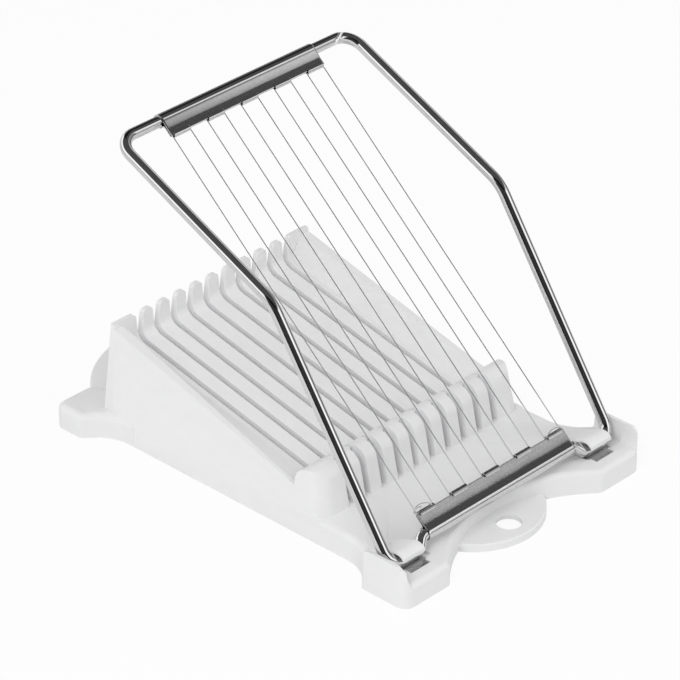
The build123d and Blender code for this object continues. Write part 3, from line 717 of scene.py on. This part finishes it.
# %% [markdown]
# ## Loose ends of the wire
# At the outer tabs of the lower bar the maker left the wire a little long, and it stands up there
# in small springy bows. Each bow is one smooth curve, drawn in the view from the front, that leans
# towards the front as it rises.

# %% Loose ends of the wire
bow_r = 0.19
foot_y = 5.6
foot_z = 19.2
lean = 0.25
bows = {
    "wire_bow_left": [(-36.2, 19.4), (-41.3, 25.2), (-33.2, 24.6), (-28.4, 19.3)],
    "wire_end_left": [(-35.0, 19.2), (-38.6, 20.4), (-39.6, 23.0), (-34.6, 22.0)],
    "wire_bow_right": [(27.4, 19.5), (28.2, 22.9), (33.6, 22.4), (36.1, 18.8)],
}
for name, corners in bows.items():
    front_view = bezier(corners, count=28)
    depth = foot_y - lean * (front_view[:, 1] - foot_z)
    line = np.stack([front_view[:, 0], depth, front_view[:, 1]], axis=1)
    rings = tube_rings(line, bow_r, sides=12, square_to=np.array([0, 1.0, 0]))
    add_piece(name, mesh_from(name, *skin(rings)), wire_steel, "wire_frame")

# %% [markdown]
# ## Keeper plates and screws
# Two small stamped plates close the hinge seats from below and keep the pins in. A screw holds each
# of them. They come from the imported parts, with the small round that stamping and heading leave.
# The plates are duller than the bars: they are seen through the windows in the front feet, where
# they look dark and a little scratched.

# %% Keeper plates and screws
plate_wear = 1.2
screw_steel, tree, shader = new_material("screw_steel", (0.6, 0.6, 0.6), metallic=1)
spots = grain(tree, 0.8, detail=4)
tint(tree, spots, (0.5, 0.5, 0.5), (0.66, 0.66, 0.65), shader.inputs["Base Color"])
tree.links.new(spread(tree, spots, 0.3, 0.5), shader.inputs["Roughness"])
relief(tree, shader, spots, depth=0.01)

for side in ("left", "right"):
    plate = add_piece(
        "hinge_plate_" + side,
        merged_copy("keeper_plate_" + side),
        sheet_steel,
        "base_unit",
        stands_for=["keeper_plate_" + side],
    )
    paint(plate.data, "rubbed", plate_wear)
    soften(plate, width=0.12, angle=40)
    screw = add_piece(
        "hinge_screw_" + side,
        merged_copy("keeper_screw_" + side),
        screw_steel,
        "base_unit",
        stands_for=["keeper_screw_" + side],
    )
    soften(screw, width=0.08, angle=40)

# %% [markdown]
# ## The studio
# The picture is a plain product shot on white. The table is a wide pale floor that keeps the soft
# shadow of the slicer. A large lamp stands on the left, so the left walls are the lightest, a weak
# one on the right opens the shadows, and a pale sky fills in the rest. To the camera, the sky and
# most of the floor are white.

# %% Floor
floor_half = 3.0
floor_whiteness = 0.9
floor_mesh = bpy.data.meshes.new("floor")
floor_corners = [(-floor_half, -floor_half, 0), (floor_half, -floor_half, 0)]
floor_corners += [(floor_half, floor_half, 0), (-floor_half, floor_half, 0)]
floor_mesh.from_pydata(floor_corners, [], [(0, 1, 2, 3)])
floor = bpy.data.objects.new("floor", floor_mesh)
bpy.context.scene.collection.objects.link(floor)

floor_material, tree, shader = new_material("floor", (0.9, 0.9, 0.9), metallic=0)
shader.inputs["Roughness"].default_value = 1
glow = tree.nodes.new("ShaderNodeEmission")
seen_by = tree.nodes.new("ShaderNodeLightPath")
mixed = tree.nodes.new("ShaderNodeMixShader")
whitened = calculate(tree, "MULTIPLY", seen_by.outputs["Is Camera Ray"], floor_whiteness)
tree.links.new(whitened, mixed.inputs["Fac"])
tree.links.new(shader.outputs["BSDF"], mixed.inputs[1])
tree.links.new(glow.outputs["Emission"], mixed.inputs[2])
tree.links.new(mixed.outputs["Shader"], tree.nodes["Material Output"].inputs["Surface"])
floor_mesh.materials.append(floor_material)
print("the floor is", 2 * floor_half, "m wide")

# %% Lamps
lit_point = Vector((0, 0, 0.03))


def soft_lamp(name, place, size, power):
    """A square soft lamp that is aimed at the slicer and isn't seen in its reflections."""
    data = bpy.data.lights.new(name, "AREA")
    data.size = size
    data.energy = power
    lamp = bpy.data.objects.new(name, data)
    lamp.location = place
    lamp.rotation_euler = (lit_point - Vector(place)).to_track_quat("-Z", "Y").to_euler()
    lamp.visible_glossy = False
    bpy.context.scene.collection.objects.link(lamp)
    print("the", name, "lamp has", power, "W")


soft_lamp("key", (-0.95, -0.4, 0.95), size=0.8, power=7.5)
soft_lamp("fill", (1.0, -0.8, 0.7), size=0.6, power=3)

# %% [markdown]
# ## What the steel mirrors
# Polished steel has hardly any colour of its own: it shows the room. The room of the photograph was
# pale, with dark places in it, and those make the black bands of the rod. The dark ceiling is
# mirrored by the upper legs and the top bar, the dark side towards the camera by the lower legs,
# and there is one dark place behind and a grey one on the right. The edge of the table goes right
# round as a thin dark line, which shows on the wrapped sheet. Real cards round the slicer would
# also shade the white plastic, so the sky has the four dark cards and the line in it, for glossy
# rays only. The rest of the room stays as pale as the background.

# %% Dark places in the room
world = bpy.data.worlds.new("world")
bpy.context.scene.world = world
world.use_nodes = True
world_tree = world.node_tree
direction = world_tree.nodes.new("ShaderNodeTexCoord").outputs["Generated"]


def smooth_change(value, start, end, before, after):
    """A number that goes smoothly from before to after while a value goes from start to end."""
    change = world_tree.nodes.new("ShaderNodeMapRange")
    change.interpolation_type = "SMOOTHSTEP"
    change.inputs["From Min"].default_value = start
    change.inputs["From Max"].default_value = end
    change.inputs["To Min"].default_value = before
    change.inputs["To Max"].default_value = after
    world_tree.links.new(value, change.inputs["Value"])
    return change.outputs["Result"]


def dark_card(azimuth, height, radius, blur, left_over):
    """What is left of the pale room in each direction, beside one round dark card.

    The card's middle is at an azimuth and a height in degrees. Inside its radius only the given
    share is left, and over the blur the room comes back.
    """
    azimuth, height = np.radians(azimuth), np.radians(height)
    middle = (np.cos(height) * np.cos(azimuth), np.cos(height) * np.sin(azimuth), np.sin(height))
    aligned = world_tree.nodes.new("ShaderNodeVectorMath")
    aligned.operation = "DOT_PRODUCT"
    aligned.inputs[1].default_value = middle
    world_tree.links.new(direction, aligned.inputs[0])
    blur_edge, card_edge = np.cos(np.radians([radius + blur, radius]))
    return smooth_change(aligned.outputs["Value"], blur_edge, card_edge, 1, left_over)


def dark_line(height, half_width, blur, left_over):
    """What is left of the pale room in each direction, beside a dark line right round it.

    The line's height, half width and blur are sines of angles above the table.
    """
    parts = world_tree.nodes.new("ShaderNodeSeparateXYZ")
    world_tree.links.new(direction, parts.inputs["Vector"])
    offset = calculate(world_tree, "SUBTRACT", parts.outputs["Z"], height)
    distance = calculate(world_tree, "ABSOLUTE", offset)
    return smooth_change(distance, half_width, half_width + blur, left_over, 1)


ceiling = dark_card(azimuth=0, height=90, radius=49, blur=8, left_over=0.06)
far_side = dark_card(azimuth=45, height=36, radius=22, blur=8, left_over=0.08)
camera_side = dark_card(azimuth=-132, height=8, radius=46, blur=6, left_over=0.03)
right_side = dark_card(azimuth=-15, height=0, radius=30, blur=14, left_over=0.22)
table_edge = dark_line(height=0.09, half_width=0.05, blur=0.03, left_over=0.15)
print("the room has", len(world_tree.nodes), "nodes so far")

# %% World
sky_strength = 0.62
mirrored_strength = 1.35


def backdrop(strength=1):
    """A plain white background of a strength."""
    node = world_tree.nodes.new("ShaderNodeBackground")
    node.inputs["Color"].default_value = (1, 1, 1, 1)
    node.inputs["Strength"].default_value = strength
    return node


def choose(ray, otherwise, chosen):
    """One background for a kind of ray, and another otherwise."""
    node = world_tree.nodes.new("ShaderNodeMixShader")
    world_tree.links.new(ray, node.inputs["Fac"])
    world_tree.links.new(otherwise, node.inputs[1])
    world_tree.links.new(chosen, node.inputs[2])
    return node.outputs["Shader"]


pale_room = mirrored_strength
for dark_place in (ceiling, far_side, camera_side, right_side, table_edge):
    pale_room = calculate(world_tree, "MULTIPLY", pale_room, dark_place)
mirrored = backdrop()
world_tree.links.new(pale_room, mirrored.inputs["Strength"])
sky = backdrop(sky_strength)
white = backdrop()

rays = world_tree.nodes.new("ShaderNodeLightPath")
shown = choose(rays.outputs["Is Glossy Ray"], sky.outputs[0], mirrored.outputs[0])
shown = choose(rays.outputs["Is Transmission Ray"], shown, white.outputs[0])
shown = choose(rays.outputs["Is Camera Ray"], shown, white.outputs[0])
world_tree.links.new(shown, world_tree.nodes["World Output"].inputs["Surface"])
bpy.context.scene.view_settings.view_transform = "Standard"
print("the world has", len(world_tree.nodes), "nodes")
